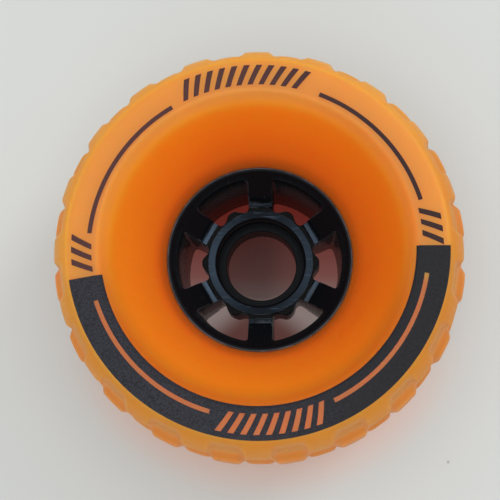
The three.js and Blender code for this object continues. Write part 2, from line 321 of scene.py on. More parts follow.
def fans_between(outer, inner, count):
    """Five-sided faces from a ring of 2 x count points to one of count points."""
    faces = []
    for k in range(count):
        a, b, c = (outer + (2 * k + step) % (2 * count) for step in range(3))
        faces.append((a, b, c, inner + (k + 1) % count, inner + k))
    return faces


wide = len(outer_angles)
narrow = len(inner_angles)
skin = []
for index in range(len(outer_rings) - 1):
    skin += quads_between(index * wide, (index + 1) * wide, wide)
inner_first = len(outer_rings) * wide
for index in range(len(inner_rings) - 1):
    skin += quads_between(inner_first + index * narrow, inner_first + (index + 1) * narrow, narrow)
skin += fans_between((len(outer_rings) - 1) * wide, inner_first, narrow)
skin += fans_between(0, inner_first + (len(inner_rings) - 1) * narrow, narrow)

tyre = make_piece("cast_tyre", np.concatenate([*outer_rings, *inner_rings]), skin)
# Two values for shading the urethane: relief is 1 on the knob tops and the plain wall and 0 in the
# grooves, and the crest values are a painted highlight along the knob edges and, between the end rows,
# along the knobs' feet.
relief = np.zeros(len(tyre.data.vertices))
crest_highlight = np.zeros(len(tyre.data.vertices))
for index, depth in enumerate(tread_depths):
    ring = slice(index * wide, (index + 1) * wide)
    share = knob_share(outer_angles, depth)
    full = relief_share(depth)
    relief[ring] = 1 - full * (1 - share)
    top = np.clip(1 - np.abs(share - CREST_SHARE) / CREST_SPREAD, 0, 1)
    foot = np.clip(1 - np.abs(share - FOOT_SHARE) / CREST_SPREAD, 0, 1)
    crest_highlight[ring] = full * np.maximum(top, foot if LOBE_END < depth < WHEEL_WIDTH - LOBE_END else 0)
for name, values in (("relief", relief), ("crest_highlight", crest_highlight)):
    tyre.data.attributes.new(name, "FLOAT", "POINT").data.foreach_set("value", values)
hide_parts("tyre")
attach(tyre, "root")

# %% [markdown]
# ## Filling a flat outline
#
# The front of the core and the printed ink are both flat outlines with holes, lifted onto a
# curved surface. Blender's own constrained Delaunay function cuts such an outline into
# triangles. Points of a loose grid are added inside it, so that the triangles stay small and
# the lifted surface stays smooth.

# %% Fill closed loops with small triangles
BATCH = 500
CLEAR_SHARE = 0.55
FILL_TOLERANCE = 1e-6


def inside_count(loops, points):
    """How many of the loops each point lies in, found by crossing their edges."""
    total = np.zeros(len(points), int)
    for loop in loops:
        a = np.asarray(loop)
        b = np.roll(a, -1, axis=0)
        crosses = (a[:, 1] > points[:, 1:]) != (b[:, 1] > points[:, 1:])
        slope = (b[:, 0] - a[:, 0]) / np.where(b[:, 1] == a[:, 1], 1, b[:, 1] - a[:, 1])
        at = a[:, 0] + slope * (points[:, 1:] - a[:, 1])
        total += (np.sum(crosses & (points[:, :1] < at), axis=1) % 2).astype(int)
    return total


def far_from(points, others, least):
    """Which of the points lie at least that far from all the others."""
    keep = np.ones(len(points), bool)
    for first in range(0, len(points), BATCH):
        part = points[first:first + BATCH]
        gap = np.min(np.sum((part[:, None] - others[None]) ** 2, axis=2), axis=1)
        keep[first:first + BATCH] = gap > least**2
    return keep


def fill(loops, creases, spacing):
    """Points and triangles of the area that lies in an odd number of the loops."""
    edges = []
    count = 0
    for line in [*loops, *creases]:
        edges += [(count + k, count + k + 1) for k in range(len(line) - 1)]
        count += len(line)
    first = 0
    for loop in loops:
        edges.append((first + len(loop) - 1, first))
        first += len(loop)
    outline = np.concatenate([*loops, *creases])
    low, high = outline.min(0), outline.max(0)
    across = np.arange(low[0], high[0], spacing)
    up = np.arange(low[1], high[1], spacing * math.sqrt(3) / 2)
    grid = np.array([(x + spacing / 2 * (k % 2), y) for k, y in enumerate(up) for x in across])
    grid = grid[inside_count(loops, grid) % 2 == 1]
    grid = grid[far_from(grid, outline, spacing * CLEAR_SHARE)]
    vectors = [Vector(point) for point in np.concatenate([outline, grid])]
    found = delaunay_2d_cdt(vectors, edges, [], 0, FILL_TOLERANCE)
    points = np.array([tuple(point) for point in found[0]])
    triangles = np.array(found[2])
    centres = points[triangles].mean(axis=1)
    kept, numbers = np.unique(triangles[inside_count(loops, centres) % 2 == 1], return_inverse=True)
    return points[kept], numbers.reshape(-1, 3)


square = np.array([(0, 0), (4, 0), (4, 4), (0, 4)], float)
print("a test square of 4 mm gives", len(fill([square], [], 1.0)[1]), "triangles")

# %% Follow the open edges of a filled outline
def edge_loops(triangles):
    """The rims of a triangle sheet, each as a list of point numbers in order."""
    sides = np.concatenate([triangles[:, [0, 1]], triangles[:, [1, 2]], triangles[:, [2, 0]]])
    known = set(map(tuple, sides.tolist()))
    following = {a: b for a, b in known if (b, a) not in known}
    loops = []
    while following:
        start, here = following.popitem()
        loop = [start]
        while here != start:
            loop.append(here)
            here = following.pop(here)
        loops.append(loop)
    return loops


def outward(loop_points):
    """Unit directions at a loop's points that lead out of the area it encloses."""
    along = np.roll(loop_points, -1, axis=0) - np.roll(loop_points, 1, axis=0)
    along /= np.linalg.norm(along, axis=1)[:, None]
    side = np.stack([along[:, 1], -along[:, 0]], axis=1)
    nxt = np.roll(loop_points, -1, axis=0)
    area = np.sum(loop_points[:, 0] * nxt[:, 1] - nxt[:, 0] * loop_points[:, 1])
    return side * np.sign(area)


print("rims of the test square:", [len(loop) for loop in edge_loops(fill([square], [], 1.0)[1])])

# %% [markdown]
# ## The core
#
# Seen from the front, the core is a dished web with six windows, a flat bar across the root
# of each spoke, and a hub ring that stands in a shallow groove. The web is filled as a flat
# outline and lifted by a height formula. Each window's rim is then drawn down into a rounded
# edge and a wall that leans as a mould's draft demands. The two mould halves meet half way
# down, where the rear half is cut a quarter of a millimetre wider.

# %% Sizes of the core
BEARING_RADIUS = 11
BEARING_WIDTH = 7
SPACER_HALF = 5
BORE_RADIUS = 9
SEAT_CHAMFER = 0.4
RIM_LAND = 0.6
RIM_EDGE = 0.2
DISH_STEP = 0.35
HUB_WALL = 2.25
SPOKES = 6
SPOKE_WIDTH = 6.5
WINDOW_CORNER = 1.1
WINDOW_RIM = 2.7
HUB_LEDGE = 0.5
NUB_HEIGHT = 1.3
NUB_TOP = 1.9
NUB_FOOT = 5.3
NUB_ROUND = 0.8
DRAFT_RUN = 0.25
PARTING_STEP = 0.25
EDGE_ROUND = 0.22
BAR_GAP = 0.85
BAR_WIDTH = 1.2
GROOVE_DEPTH = 0.7
RAMP = 0.32
RAMP_ROUNDING = 0.45
HUB_EDGE = 0.2
HUB_EDGE_MIDDLE = 0.06
CHAMFER_BREAK = 0.1
CHAMFER_DROP = 0.04
CHAMFER_LEAN = 0.05
BORE_EDGE = 0.15
RIM_BREAK = 0.08

HUB_HALF = SPACER_HALF + BEARING_WIDTH
HUB_RADIUS = BEARING_RADIUS + HUB_WALL
DISH_RADIUS = CORE_RADIUS - RIM_EDGE - RIM_LAND - DISH_STEP
WINDOW_INNER = HUB_RADIUS + HUB_LEDGE
WINDOW_OUTER = CORE_RADIUS - WINDOW_RIM
BAR_INNER = HUB_RADIUS + BAR_GAP
BAR_OUTER = BAR_INNER + BAR_WIDTH
GROOVE_FLOOR = HUB_HALF - GROOVE_DEPTH
WEB_LAND = HUB_HALF - GROOVE_DEPTH / 2
DISH_TOP = CORE_HALF - DISH_STEP
COLUMNS = 180
RIM_POINTS = 25
WINDOW_STEP = 0.3
EDGE_LINES = 5
RAMP_LINES = 5
HEXAGON_STEPS = 24
PLATE_SPACING = 0.8
OFF_AXIS = 1
print("hub ring", HUB_RADIUS, "mm, dish edge", round(DISH_RADIUS, 2), "mm from the axis")

# %% Outline of one window
def edge_angle(radius):
    return math.pi / SPOKES - math.asin(SPOKE_WIDTH / 2 / radius)


def rounded(corners, steps=8):
    """A closed loop through (x, y, radius) corners, each cut by a quadratic curve."""
    loop = []
    for k, (x, y, radius) in enumerate(corners):
        corner = np.array([x, y])
        before = np.array(corners[k - 1][:2]) - corner
        after = np.array(corners[(k + 1) % len(corners)][:2]) - corner
        cut = min(radius, np.linalg.norm(before) / 2, np.linalg.norm(after) / 2)
        if cut == 0:
            loop.append(corner)
            continue
        entry = corner + before / np.linalg.norm(before) * cut
        leave = corner + after / np.linalg.norm(after) * cut
        loop += list(bezier(entry, corner, leave, steps))
    return np.array(loop)


def window_loop():
    def at(radius, angle, cut):
        return (radius * math.cos(angle), radius * math.sin(angle), cut)

    outer, inner = edge_angle(WINDOW_OUTER), edge_angle(WINDOW_INNER)
    shares = np.linspace(-1, 1, RIM_POINTS)
    rim = [at(WINDOW_OUTER, outer * s, WINDOW_CORNER if abs(s) == 1 else 0) for s in shares]
    foot = math.asin(NUB_FOOT / 2 / WINDOW_INNER)
    return rounded([
        *[corner for corner in rim if corner[2] or abs(corner[1]) < abs(rim[0][1]) - WINDOW_CORNER],
        at(WINDOW_INNER, inner, WINDOW_CORNER),
        at(WINDOW_INNER, foot, NUB_ROUND),
        (WINDOW_INNER + NUB_HEIGHT, NUB_TOP / 2, NUB_ROUND),
        (WINDOW_INNER + NUB_HEIGHT, -NUB_TOP / 2, NUB_ROUND),
        at(WINDOW_INNER, -foot, NUB_ROUND),
        at(WINDOW_INNER, -inner, WINDOW_CORNER),
    ])


def even_loop(loop, step):
    """The same loop with its points a given distance apart."""
    closed = np.concatenate([loop, loop[:1]])
    travel = np.concatenate([[0], np.cumsum(np.linalg.norm(np.diff(closed, axis=0), axis=1))])
    places = np.linspace(0, travel[-1], round(travel[-1] / step), endpoint=False)
    return np.stack([np.interp(places, travel, closed[:, axis]) for axis in (0, 1)], axis=1)


window = even_loop(window_loop(), WINDOW_STEP)
window_front = window + outward(window) * (DRAFT_RUN + EDGE_ROUND)
print("window outline:", len(window), "points,", round(np.ptp(window[:, 0]), 2), "mm deep")

# %% Height of the core's front face
def ramp(value, start, low, high):
    """Goes smoothly from low to high as value passes from start to start + RAMP."""
    return low + (high - low) * soft_step((value - start) / RAMP, RAMP_ROUNDING)


def along_spoke(points):
    """Each point's distance along the nearest spoke, and its distance to the side of it."""
    radius = np.hypot(points[:, 0], points[:, 1])
    angle = np.arctan2(points[:, 1], points[:, 0])
    spoke = (2 * math.pi / SPOKES) * (np.floor(angle / (2 * math.pi / SPOKES)) + 0.5)
    return radius * np.cos(angle - spoke), radius * np.abs(np.sin(angle - spoke))


def face_height(points):
    """Height over the core's middle: groove, bars across the spoke roots, dished web."""
    radius = np.hypot(points[:, 0], points[:, 1])
    flat, _ = along_spoke(points)
    rise = (DISH_TOP - WEB_LAND) / (DISH_RADIUS - HUB_RADIUS)
    web = WEB_LAND + rise * (radius - HUB_RADIUS)
    bar = np.minimum(web, HUB_HALF)
    height = ramp(flat, BAR_INNER - RAMP / 2, GROOVE_FLOOR, bar)
    return np.where(flat > BAR_INNER + RAMP, ramp(flat, BAR_OUTER - RAMP / 4, bar, web), height)


def circle(radius, count):
    angles = np.arange(count) * 2 * math.pi / count
    return np.stack([radius * np.cos(angles), radius * np.sin(angles)], axis=1)


def turned_by(points, angle):
    c, s = math.cos(angle), math.sin(angle)
    return points @ np.array([[c, s], [-s, c]])


def hexagon(flat):
    """A six-sided line round the hub whose sides cross the spokes."""
    corners = circle(flat / math.cos(math.pi / SPOKES), SPOKES)
    ends = np.roll(corners, -1, axis=0)
    sides = [np.linspace(a, b, HEXAGON_STEPS, endpoint=False) for a, b in zip(corners, ends)]
    return np.concatenate([*sides, corners[:1]])


shares = np.linspace(0, 1, RAMP_LINES)
inner_ramp = BAR_INNER - RAMP / 2 + RAMP * shares
outer_ramp = BAR_OUTER - RAMP / 4 + RAMP * shares
window_turns = [k * 2 * math.pi / SPOKES for k in range(SPOKES)]
plate_loops = [circle(DISH_RADIUS, COLUMNS), circle(HUB_RADIUS, COLUMNS)]
plate_loops += [turned_by(window_front, turn) for turn in window_turns]
plate_creases = [hexagon(flat) for flat in [*inner_ramp, *outer_ramp]]
plate, plate_triangles = fill(plate_loops, plate_creases, PLATE_SPACING)
all_rims = edge_loops(plate_triangles)
window_rims = [rim for rim in all_rims if np.linalg.norm(plate[rim].mean(0)) > OFF_AXIS]
print(len(plate_triangles), "triangles in the front face,", len(window_rims), "windows")

# %% Assemble the core
points, faces = [], []


def add_sheet(new_points, new_faces):
    first = sum(len(part) for part in points)
    points.append(np.asarray(new_points, float))
    faces.extend([tuple(int(i) + first for i in face) for face in new_faces])


def add_rings(rings):
    """Closes the surface between rings of as many points each."""
    count = len(rings[0])
    quads = []
    for index in range(len(rings) - 1):
        quads += quads_between(index * count, (index + 1) * count, count)
    add_sheet(np.concatenate(rings), quads)


def at_height(flat_points, height):
    height = np.broadcast_to(height, len(flat_points))
    return np.column_stack([flat_points, height + CORE_MIDDLE])


away = np.zeros_like(plate)
for rim in window_rims:
    away[rim] = outward(plate[rim])
plate_height = face_height(plate)
add_sheet(at_height(plate, plate_height), plate_triangles)
add_sheet(at_height(plate + away * PARTING_STEP, -plate_height), plate_triangles)

for rim in window_rims:
    place, out, top = plate[rim], away[rim], plate_height[rim]
    turns = np.linspace(0, math.pi / 2, EDGE_LINES)
    edge = [(-EDGE_ROUND * math.sin(t), EDGE_ROUND * (1 - math.cos(t))) for t in turns]
    rings = [at_height(place + out * shift, top - drop) for shift, drop in edge]
    wall = -EDGE_ROUND - DRAFT_RUN
    rings.append(at_height(place + out * (wall + DRAFT_RUN / 2), (top - EDGE_ROUND) / 2))
    rings.append(at_height(place + out * wall, 0))
    rings.append(at_height(place + out * (wall + PARTING_STEP), 0))
    rings.append(at_height(place + out * (wall + PARTING_STEP + DRAFT_RUN / 2), (EDGE_ROUND - top) / 2))
    rings += [
        at_height(place + out * (shift + PARTING_STEP), drop - top) for shift, drop in reversed(edge)
    ]
    add_rings(rings)


def half_section(profile):
    """A profile of (radius, height over the middle) points, followed by its mirror image."""
    return profile + [(radius, -height) for radius, height in reversed(profile)]


hub_section = half_section([
    (HUB_RADIUS, GROOVE_FLOOR),
    (HUB_RADIUS, HUB_HALF - HUB_EDGE),
    (HUB_RADIUS - HUB_EDGE_MIDDLE, HUB_HALF - HUB_EDGE_MIDDLE),
    (HUB_RADIUS - HUB_EDGE, HUB_HALF),
    (BEARING_RADIUS + SEAT_CHAMFER + CHAMFER_BREAK, HUB_HALF),
    (BEARING_RADIUS + SEAT_CHAMFER, HUB_HALF - CHAMFER_DROP),
    (BEARING_RADIUS + CHAMFER_LEAN, HUB_HALF - SEAT_CHAMFER),
    (BEARING_RADIUS, HUB_HALF - SEAT_CHAMFER - CHAMFER_BREAK),
    (BEARING_RADIUS, SPACER_HALF),
    (BORE_RADIUS + BORE_EDGE, SPACER_HALF),
    (BORE_RADIUS, SPACER_HALF - BORE_EDGE),
])
rim_section = half_section([
    (DISH_RADIUS, DISH_TOP),
    (DISH_RADIUS + DISH_STEP - RIM_BREAK, CORE_HALF - RIM_BREAK),
    (DISH_RADIUS + DISH_STEP + RIM_BREAK / 2, CORE_HALF),
    (CORE_RADIUS - RIM_EDGE, CORE_HALF),
    (CORE_RADIUS - RIM_EDGE / 3, CORE_HALF - RIM_EDGE / 3),
    (CORE_RADIUS, CORE_HALF - RIM_EDGE),
])
for section in (hub_section, rim_section):
    add_rings([at_height(circle(radius, COLUMNS), height) for radius, height in section])

core = make_piece("moulded_core", np.concatenate(points), faces)

# %% Mark the rubbed faces, the edges with polish and painted highlights, and the window walls of the core
NEAR = 0.03
BAR_OVERHANG = 0.6
BAR_SIDE = SPOKE_WIDTH / 2 + BAR_OVERHANG

place = np.empty(3 * len(core.data.vertices))
core.data.vertices.foreach_get("co", place)
place = place.reshape(-1, 3) / MM
radius = np.hypot(place[:, 0], place[:, 1])
height = place[:, 2] - CORE_MIDDLE
flat, side = along_spoke(place[:, :2])
on_hub_plane = np.abs(height - HUB_HALF) < NEAR
on_ring = on_hub_plane & (radius < HUB_RADIUS)
on_bar = on_hub_plane & (flat > BAR_INNER) & (flat < BAR_OUTER) & (side < BAR_SIDE)
below_face = face_height(place[:, :2]) - height
front_web = (radius > HUB_RADIUS + NEAR) & (radius < DISH_RADIUS - NEAR)
window_edge = front_web & (below_face > NEAR) & (below_face < EDGE_ROUND + NEAR)
bar_slope = np.abs(np.abs(flat - (BAR_INNER + BAR_OUTER) / 2) - BAR_WIDTH / 2) < RAMP / 3
bar_edge = (np.abs(below_face) < NEAR) & bar_slope & (side < BAR_SIDE) & (height > 0)
ring_bend = np.abs(height - HUB_HALF + HUB_EDGE_MIDDLE) < NEAR
ring_edge = ring_bend & (np.abs(radius - HUB_RADIUS) < HUB_EDGE / 2)
rim_edge = (height > CORE_HALF - RIM_EDGE - NEAR) & (radius > CORE_RADIUS - RIM_EDGE / 2)
window_wall = front_web & (below_face > EDGE_ROUND - NEAR)
# The edge mask stands for real polish and a painted highlight together.
for name, mask in (
    ("rubbed", on_ring | on_bar),
    ("polish_and_highlight", window_edge | bar_edge | ring_edge | rim_edge),
    ("window_wall", window_wall),
):
    core.data.attributes.new(name, "FLOAT", "POINT").data.foreach_set("value", mask.astype(float))
    print(name, "points:", int(mask.sum()))
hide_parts("core")
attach(core, "root")

# %% [markdown]
# ## The printed lip
#
# The print is a film of ink, so it is made as one: flat outlines filled with small triangles
# that stand two hundredths of a millimetre proud of the lip and reach as far into it. A film
# has crisp edges at any distance, which a painted mask would not. It is a plain design of
# stripes: a wide band with a thin stripe left open in it, two thin arcs, and runs of bars.

# %% Outlines of the print
BAND_INNER = 35.4
BAND_OUTER = 42.95
BAND_CENTRE = (0.25, -0.13)
ARC_CENTRE = (0.3, -0.85)
STRIPE_INNER = 37.6
STRIPE_OUTER = 38.6
BAND_TURN = (190, 360)
STRIPE_TURNS = [(198.5, 253.9), (296.2, 350.7)]
ARC_TURNS = [(16.8, 68.4), (120.7, 174.2)]
BAR_INNER_EDGE = 37.1
BAR_OUTER_EDGE = 41.7
BAR_TURN = 1.9
BAR_SLANT = 3.2
BAR_PITCH = 3.9
BAND_BARS = (275, 9)
UPPER_BARS = [(94.5, 11), (182.5, 3), (6.5, 3)]
FILM = 0.02
PRINT_STEP = 0.6
LEAST_POINTS = 3
PRINT_SPACING = 1.1
ROLL_LINE_GAP = 0.2
ROLL_LINE_INSET = 0.4
ROLL_LINE_POINTS = 180


def polar(radius, degrees):
    angle = np.radians(degrees)
    return np.stack(np.broadcast_arrays(radius * np.cos(angle), radius * np.sin(angle)), axis=-1)


def arc_shape(inner, outer, start, end, slant=0):
    """A stretch of a ring as a loop. Its inner arc is turned on by the slant, in degrees."""
    length = math.radians(end - start) * outer
    along = np.linspace(start, end, max(LEAST_POINTS, round(length / PRINT_STEP)))
    rising = np.linspace(0, 1, max(LEAST_POINTS, round((outer - inner) / PRINT_STEP)))
    radii = inner + (outer - inner) * rising
    sides = [
        polar(outer, along),
        polar(radii[::-1], end + slant * rising)[1:-1],
        polar(inner, along[::-1] + slant),
        polar(radii, start + slant * rising[::-1])[1:-1],
    ]
    return np.concatenate(sides)


def slanted_bars(middle, count):
    """A run of bars whose middle lies at that many degrees."""
    first = middle - (count - 1) * BAR_PITCH / 2 - (BAR_TURN + BAR_SLANT) / 2
    starts = [first + k * BAR_PITCH for k in range(count)]
    edges = (BAR_INNER_EDGE, BAR_OUTER_EDGE)
    return [arc_shape(*edges, start, start + BAR_TURN, BAR_SLANT) for start in starts]


band = [arc_shape(BAND_INNER, BAND_OUTER, *BAND_TURN)]
band += [arc_shape(STRIPE_INNER, STRIPE_OUTER, *turn) for turn in STRIPE_TURNS]
band += slanted_bars(*BAND_BARS)
prints = {
    "lip_band": [loop + np.array(BAND_CENTRE) for loop in band],
    "lip_arcs": [
        arc_shape(STRIPE_INNER, STRIPE_OUTER, *turn) + np.array(ARC_CENTRE) for turn in ARC_TURNS
    ],
    "lip_bars": [bar for run in UPPER_BARS for bar in slanted_bars(*run)],
}
print("print:", {name: len(loops) for name, loops in prints.items()})

# %% Lay the ink on the lip
line_start, line_end = BAND_TURN[0] + ROLL_LINE_INSET, BAND_TURN[1] - ROLL_LINE_INSET
line_radii = np.arange(BAND_INNER - ROLL_LINE_GAP, LIP_ROLL + ROLL_LINE_GAP / 2, ROLL_LINE_GAP)
line_turns = np.linspace(line_start, line_end, ROLL_LINE_POINTS)
roll_lines = [polar(radius, line_turns) for radius in line_radii]
ink_pieces = []
for name, loops in prints.items():
    creases = roll_lines if name == "lip_band" else []
    flat, triangles = fill(loops, creases, PRINT_SPACING)
    top = lip_height(np.hypot(flat[:, 0], flat[:, 1]))
    upper = np.column_stack([flat, top + FILM])
    lower = np.column_stack([flat, top - FILM])
    count = len(flat)
    film = [tuple(face) for face in triangles.tolist()]
    film += [tuple(i + count for i in reversed(face)) for face in triangles.tolist()]
    for loop in edge_loops(triangles):
        film += [(a, b, b + count, a + count) for a, b in zip(loop, loop[1:] + loop[:1])]
    ink_pieces.append(make_piece(name, np.concatenate([upper, lower]), film))
for piece in ink_pieces:
    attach(piece, "root")

# %% [markdown]
# ## Shared effects as node groups
#
# Cloudy colour, dust and scuffs turn up on more than one finish. Each is built once as a
# node group with named inputs, and each material sets its own values. The groups put out only
# masks that vary over the surface. They read object coordinates, so a pattern stays fixed to
# the wheel wherever the camera stands.

# %% Node helpers
NOISE_LOW, NOISE_HIGH = 0.3, 0.7


def new_group(name, inputs):
    """An empty node group with float inputs and one output called Mask."""
    group = bpy.data.node_groups.new(name, "ShaderNodeTree")
    for label, value in inputs.items():
        socket = group.interface.new_socket(label, in_out="INPUT", socket_type="NodeSocketFloat")
        socket.default_value = value
    group.interface.new_socket("Mask", in_out="OUTPUT", socket_type="NodeSocketFloat")
    return group, group.nodes.new("NodeGroupInput").outputs, group.nodes.new("NodeGroupOutput")


def feed(tree, node, inputs):
    """Sets each given input of a node to its plain value, or links the output given for it."""
    for label, value in inputs.items():
        if isinstance(value, (int, float, tuple)):
            node.inputs[label].default_value = value
        else:
            tree.links.new(value, node.inputs[label])


def math_node(tree, operation, first, second=None, clamp=False):
    node = tree.nodes.new("ShaderNodeMath")
    node.operation = operation
    node.use_clamp = clamp
    feed(tree, node, {0: first} if second is None else {0: first, 1: second})
    return node.outputs[0]


def multiply(tree, first, *others):
    """The product of several masks."""
    for other in others:
        first = math_node(tree, "MULTIPLY", first, other)
    return first


def noise_node(tree, vector, scale, detail, roughness=0.5):
    node = tree.nodes.new("ShaderNodeTexNoise")
    feed(tree, node, {"Vector": vector, "Scale": scale, "Detail": detail, "Roughness": roughness})
    return node.outputs["Fac"]


def range_node(tree, value, low, high, to_low=0.0, to_high=1.0):
    """Goes softly from to_low to to_high while the value goes from low to high."""
    node = tree.nodes.new("ShaderNodeMapRange")
    node.interpolation_type = "SMOOTHSTEP"
    feed(tree, node, {"Value": value, "From Min": low, "From Max": high})
    feed(tree, node, {"To Min": to_low, "To Max": to_high})
    return node.outputs["Result"]


def noise_range(tree, noise, least, most):
    """Spreads a noise over the values from least to most."""
    return range_node(tree, noise, NOISE_LOW, NOISE_HIGH, least, most)


def fade(tree, place, span, start=0.0, end=1.0):
    """Goes softly from start to end while a place passes along a span in millimetres."""
    return range_node(tree, place, span[0] * MM, span[1] * MM, start, end)


def object_place(tree):
    return tree.nodes.new("ShaderNodeTexCoord").outputs["Object"]


def object_axes(tree):
    """The x, y and z of a point on the surface."""
    split = tree.nodes.new("ShaderNodeSeparateXYZ")
    feed(tree, split, {"Vector": object_place(tree)})
    return tuple(split.outputs[axis] for axis in "XYZ")


def gap_to(tree, place, level):
    """How far a place lies from a level given in millimetres, on either side."""
    return math_node(tree, "ABSOLUTE", math_node(tree, "SUBTRACT", place, level * MM))


def flat_distance(tree, x, y, centre=(0, 0)):
    """Distance across the wheel from an upright line through a point given in millimetres."""
    squares = [
        math_node(tree, "POWER", gap_to(tree, place, level), 2) for place, level in zip((x, y), centre)
    ]
    return math_node(tree, "SQRT", math_node(tree, "ADD", *squares))


# %% Cloudy colour, dust and scuffs
MIDDLE_GREY = 0.5
CLOUD_DETAIL = 3
SPECK_CORE_SHARE = 0.5
SCUFF_TURNS = (0.4, 1.7)
SCUFF_DETAIL = 2
SCUFF_TOP = 0.86
SCUFF_REACH = 0.3
SCUFF_SOFTNESS = 0.08


def cloud_group():
    group, given, result = new_group("cloudy_colour", {"Scale": 60, "Contrast": 0.5})
    wide = noise_node(group, object_place(group), given["Scale"], CLOUD_DETAIL)
    shifted = math_node(group, "SUBTRACT", wide, MIDDLE_GREY)
    scaled = multiply(group, shifted, given["Contrast"])
    feed(group, result, {"Mask": math_node(group, "ADD", scaled, MIDDLE_GREY, clamp=True)})
    return group


def dust_group():
    group, given, result = new_group("dust_specks", {"Scale": 400, "Size": 0.12, "Amount": 0.3})
    cells = group.nodes.new("ShaderNodeTexVoronoi")
    feed(group, cells, {"Vector": object_place(group), "Scale": given["Scale"]})
    speck_core = multiply(group, given["Size"], SPECK_CORE_SHARE)
    dot = range_node(group, cells.outputs["Distance"], given["Size"], speck_core)
    split = group.nodes.new("ShaderNodeSeparateColor")
    feed(group, split, {"Color": cells.outputs["Color"]})
    chosen = math_node(group, "LESS_THAN", split.outputs["Red"], given["Amount"])
    feed(group, result, {"Mask": multiply(group, dot, chosen)})
    return group


def scuff_group():
    group, given, result = new_group("fine_scuffs", {"Scale": 90, "Stretch": 14, "Amount": 0.4})
    streaks = []
    for turn in SCUFF_TURNS:
        stretch = group.nodes.new("ShaderNodeCombineXYZ")
        feed(group, stretch, {"X": 1, "Y": given["Stretch"], "Z": 1})
        mapping = group.nodes.new("ShaderNodeMapping")
        feed(group, mapping, {"Vector": object_place(group), "Rotation": (0, 0, turn)})
        feed(group, mapping, {"Scale": stretch.outputs["Vector"]})
        streaks.append(noise_node(group, mapping.outputs["Vector"], given["Scale"], SCUFF_DETAIL))
    both = math_node(group, "MAXIMUM", *streaks)
    reach = multiply(group, given["Amount"], SCUFF_REACH)
    least = math_node(group, "SUBTRACT", SCUFF_TOP, reach)
    most = math_node(group, "ADD", least, SCUFF_SOFTNESS)
    feed(group, result, {"Mask": range_node(group, both, least, most)})
    return group


groups = {"cloud": cloud_group(), "dust": dust_group(), "scuff": scuff_group()}


def effect(tree, kind, **values):
    """Places a shared effect in a material and returns its mask."""
    node = tree.nodes.new("ShaderNodeGroup")
    node.node_tree = groups[kind]
    feed(tree, node, values)
    return node.outputs["Mask"]


print("shared effects:", [group.name for group in groups.values()])

# %% Colour helpers and an empty material
FIRST_COLOUR, SECOND_COLOUR, MIXED_COLOUR = 6, 7, 2
RAMP_MIDDLE = 0.5


def srgb(red, green, blue):
    """A colour picked on screen, 0 to 255, as the linear values that shaders use."""
    def linear(value):
        share = value / 255
        return share / 12.92 if share <= 0.04045 else ((share + 0.055) / 1.055) ** 2.4

    return (linear(red), linear(green), linear(blue), 1.0)


def mix_colour(tree, mask, first, second):
    """Goes from the first colour to the second where the mask is high."""
    node = tree.nodes.new("ShaderNodeMix")
    node.data_type = "RGBA"
    feed(tree, node, {0: mask, FIRST_COLOUR: first, SECOND_COLOUR: second})
    return node.outputs[MIXED_COLOUR]


def tint(tree, hue, mask, colour, share=1):
    """Lays a screen colour over a hue where the mask is high, up to a share."""
    part = mask if share == 1 else multiply(tree, mask, share)
    return mix_colour(tree, part, hue, srgb(*colour))


def ramp_colour(tree, value, stops):
    """A colour ramp of (position, screen colour) stops."""
    node = tree.nodes.new("ShaderNodeValToRGB")
    elements = node.color_ramp.elements
    while len(elements) < len(stops):
        elements.new(RAMP_MIDDLE)
    for element, (position, colour) in zip(elements, stops):
        element.position = position
        element.color = srgb(*colour)
    feed(tree, node, {"Fac": value})
    return node.outputs["Color"]


def bump(tree, height, strength, distance):
    node = tree.nodes.new("ShaderNodeBump")
    feed(tree, node, {"Strength": strength, "Distance": distance * MM, "Height": height})
    return node.outputs["Normal"]


def surface_value(tree, name):
    """A value stored on the mesh under that name."""
    node = tree.nodes.new("ShaderNodeAttribute")
    node.attribute_name = name
    return node.outputs["Fac"]


def new_material(name):
    material = bpy.data.materials.new(name)
    material.use_nodes = True
    tree = material.node_tree
    return material, tree, tree.nodes["Principled BSDF"]


def wear(piece, material):
    piece.data.materials.clear()
    piece.data.materials.append(material)


print("orange as the shader sees it:", [round(v, 3) for v in srgb(232, 125, 28)])

# %% [markdown]
# ## Cast urethane
#
# The tyre is tinted urethane, so light soaks into it: thin edges look paler and the deep
# bowl, where light bounces between orange walls, looks redder. The shader's own subsurface
# setting gives the soaked-in light. On top of it, the slow change of hue from lip to bowl is
# painted light and shade: a ramp along the section of the tyre, read from the distance to the
# axis and the height. The hue also shifts a little from left to right and from top to bottom,
# painted light and shade for how the lamps fall on the bowl and for the light that real
# urethane passes from wall to wall.

# %% Hue of the bowl and the lip, with painted light and shade
# Painted light and shade: deep red where the bowl meets the core, paler up the wall to the lip.
BOWL_SHADING_HUES = [
    (0.0, (178, 52, 12)),
    (0.06, (232, 92, 16)),
    (0.13, (246, 106, 16)),
    (0.5, (255, 123, 13)),
    (0.83, (255, 136, 13)),
    (0.9, (255, 146, 20)),
    (0.925, (253, 158, 32)),
    (0.947, (252, 169, 46)),
    (0.968, (252, 175, 60)),
    (0.983, (244, 170, 72)),
    (0.994, (230, 159, 73)),
    (1.0, (212, 143, 66)),
]
LIT_SIDE_SPAN = (20, -30)
SHADED_SIDE_SPAN = (2, 36)
SHADED_LOW_SPAN = (8, -22)
OFF_CORE = 0.2
UNDER_LIP = (FRONT_LIP - 8, FRONT_LIP)
ROLL_END_SPAN = (LIP_ROLL - 0.6, LIP_ROLL + 0.2)


